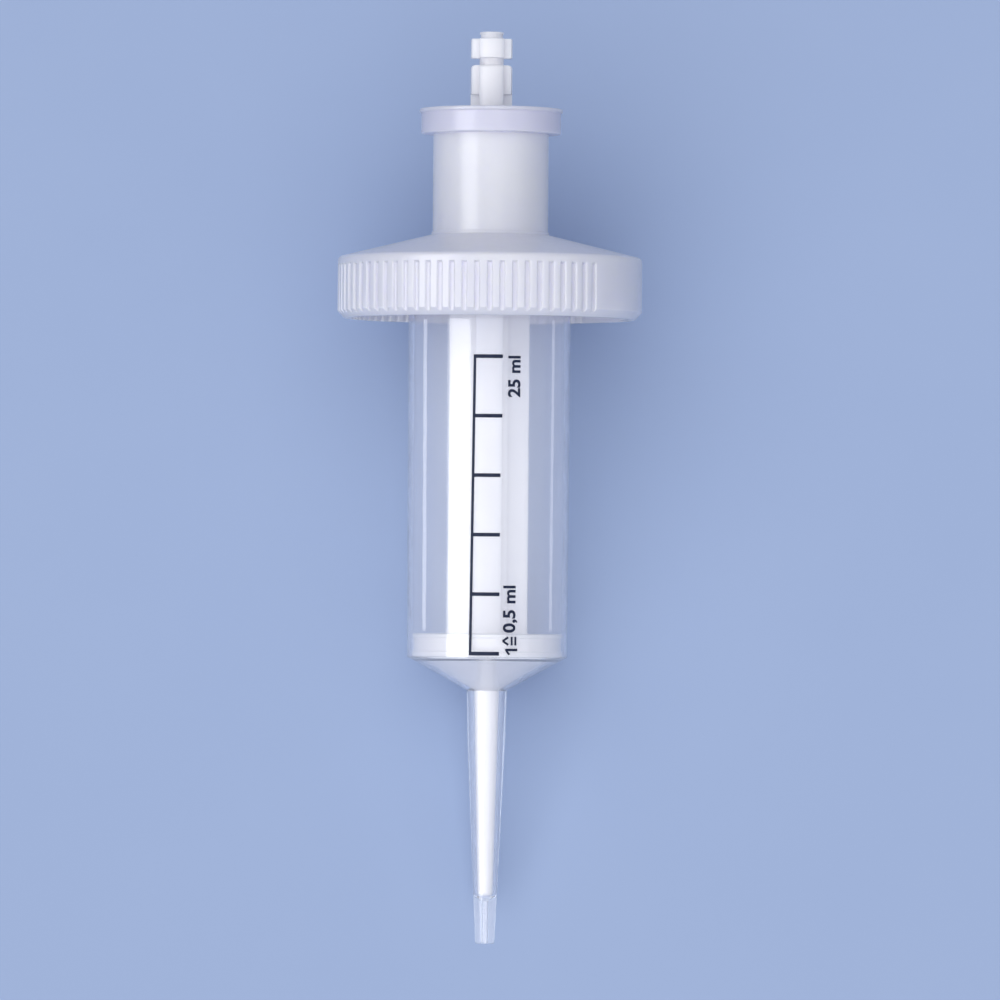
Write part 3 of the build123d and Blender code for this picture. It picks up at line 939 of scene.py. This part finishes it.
def make_world():
    """Soft cool surround; the camera, mirrors and clear plastic see a paler one."""
    world = bpy.data.worlds.new("studio")
    world.use_nodes = True
    bpy.context.scene.world = world
    nodes, links = world.node_tree.nodes, world.node_tree.links
    surround = nodes["Background"]
    surround.inputs["Color"].default_value = SURROUND_COLOUR
    surround.inputs["Strength"].default_value = SURROUND_STRENGTH
    backdrop = nodes.new("ShaderNodeBackground")
    backdrop.inputs["Color"].default_value = BACKDROP_COLOUR
    backdrop.inputs["Strength"].default_value = 1.0
    path = nodes.new("ShaderNodeLightPath")
    camera_or_clear = nodes.new("ShaderNodeMath")
    camera_or_clear.operation = "MAXIMUM"
    any_of_them = nodes.new("ShaderNodeMath")
    any_of_them.operation = "MAXIMUM"
    mix = nodes.new("ShaderNodeMixShader")
    links.new(path.outputs["Is Camera Ray"], camera_or_clear.inputs[0])
    links.new(path.outputs["Is Transmission Ray"], camera_or_clear.inputs[1])
    links.new(camera_or_clear.outputs[0], any_of_them.inputs[0])
    links.new(path.outputs["Is Glossy Ray"], any_of_them.inputs[1])
    links.new(any_of_them.outputs[0], mix.inputs["Fac"])
    links.new(surround.outputs[0], mix.inputs[1])
    links.new(backdrop.outputs[0], mix.inputs[2])
    links.new(mix.outputs[0], nodes["World Output"].inputs["Surface"])


def make_camera():
    """In front of the scale, almost square to the axis; the tip leans a little to the picture's right."""
    data = bpy.data.cameras.new("camera")
    data.sensor_width = SENSOR_WIDTH
    data.lens = SENSOR_WIDTH * CAMERA_DISTANCE / FRAME_WIDTH
    data.clip_start, data.clip_end = CLIP_NEAR, CLIP_FAR
    camera = bpy.data.objects.new("camera", data)
    bpy.context.scene.collection.objects.link(camera)
    place = upright(AIM_ACROSS, -CAMERA_DISTANCE, EYE_HEIGHT)
    aim = upright(AIM_ACROSS, 0, AIM_HEIGHT)
    back = (place - aim).normalized()
    up = (AXIS - back * AXIS.dot(back)).normalized()
    right = up.cross(back)
    turn = radians(LEAN_IN_PICTURE)
    rolled_up = up * cos(turn) - right * sin(turn)
    rolled_right = rolled_up.cross(back)
    rotation = Matrix((rolled_right, rolled_up, back)).transposed().to_4x4()
    camera.matrix_world = Matrix.Translation(place) @ rotation
    bpy.context.scene.camera = camera


def add_softbox(name, side_angle, distance, width, length, radiance, colour, height=AIM_HEIGHT):
    """A softbox that faces the tip's axis at a height, at an angle to the camera's right of it."""
    data = bpy.data.lights.new(name, "AREA")
    data.shape = "RECTANGLE"
    data.size, data.size_y = width, length
    # The watts of a flat light that gives this radiance
    data.energy = radiance * pi * width * length
    data.color = colour
    light = bpy.data.objects.new(name, data)
    light.visible_camera = False
    bpy.context.scene.collection.objects.link(light)
    out = ACROSS * sin(radians(side_angle)) - BACKWARD * cos(radians(side_angle))
    rotation = Matrix((AXIS.cross(out), AXIS, out)).transposed().to_4x4()
    light.matrix_world = Matrix.Translation(upright(0, 0, height) + out * distance) @ rotation
    return light


def make_lights():
    """A large softbox in front, a small fill, a highlight on the plastic and a glint along each side."""
    add_softbox(*FRONT_SOFTBOX)
    add_softbox(*FILL_SOFTBOX)
    shine = add_softbox(*SHINE_SOFTBOX)
    shine.visible_diffuse = False
    for side_angle, width, radiance in GLINTS:
        glint = add_softbox(
            "glint", side_angle, GLINT_DISTANCE, width, GLINT_LENGTH, radiance, WHITE, height=GLINT_HEIGHT
        )
        glint.visible_diffuse = False
        glint.visible_transmission = False


def main():
    make_barrel(clear_plastic())
    make_piston(white_plastic())
    make_adapter(milky_plastic())
    make_print(printing_ink())
    make_floor()
    make_world()
    make_camera()
    make_lights()
    bpy.context.scene.view_settings.view_transform = "Standard"


main()
